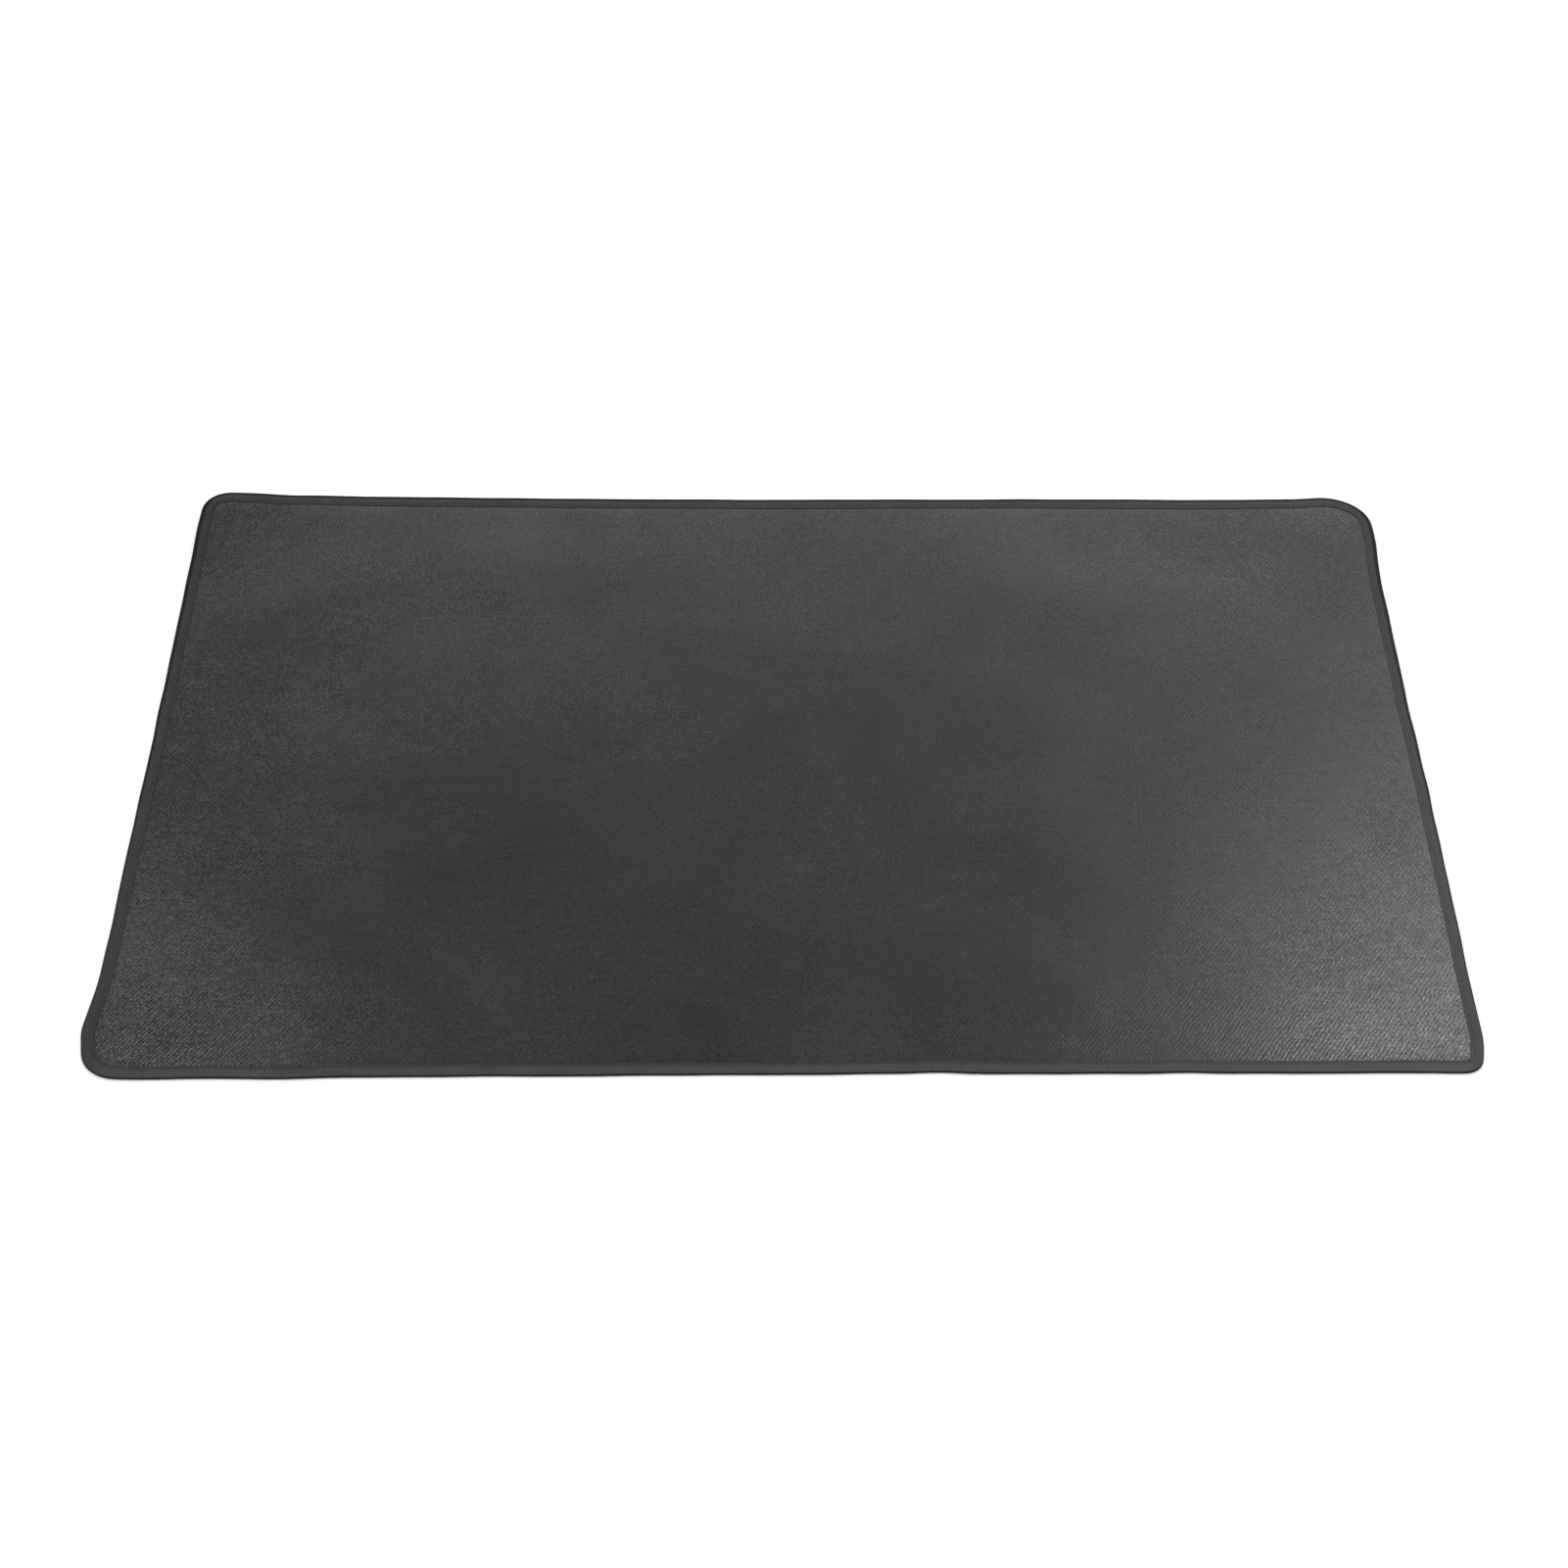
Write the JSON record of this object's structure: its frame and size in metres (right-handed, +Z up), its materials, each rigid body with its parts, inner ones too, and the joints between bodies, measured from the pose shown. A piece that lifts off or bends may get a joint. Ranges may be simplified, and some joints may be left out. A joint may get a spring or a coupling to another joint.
{
  "type": "desk mat",
  "caption": "Flat rectangular desk mat with rounded corners: coated twill cloth over a felt core and a backing cloth, its edge bound all round by a folded, stitched tape.",
  "frame": {"origin": "centre of the mat's extent, on the plane that its underside lies on", "axes": "+X along the length, +Y across the width away from the user, +Z up out of the working face"},
  "size_m": [1.5116, 1.0099, 0.0036],
  "materials": {
    "coated_twill": "coated twill, low sheen",
    "felt": "matt needle felt",
    "backing_cloth": "coated plain weave, matt",
    "woven_tape": "ribbed woven tape, matt",
    "sewing_thread": "twisted polyester thread"
  },
  "bodies": {
    "root": {"top_cloth": "coated_twill", "core_felt": "felt", "base_cloth": "backing_cloth", "binding_tape": "woven_tape", "needle_thread": "sewing_thread", "bobbin_thread": "sewing_thread"}
  },
  "joints": []
}
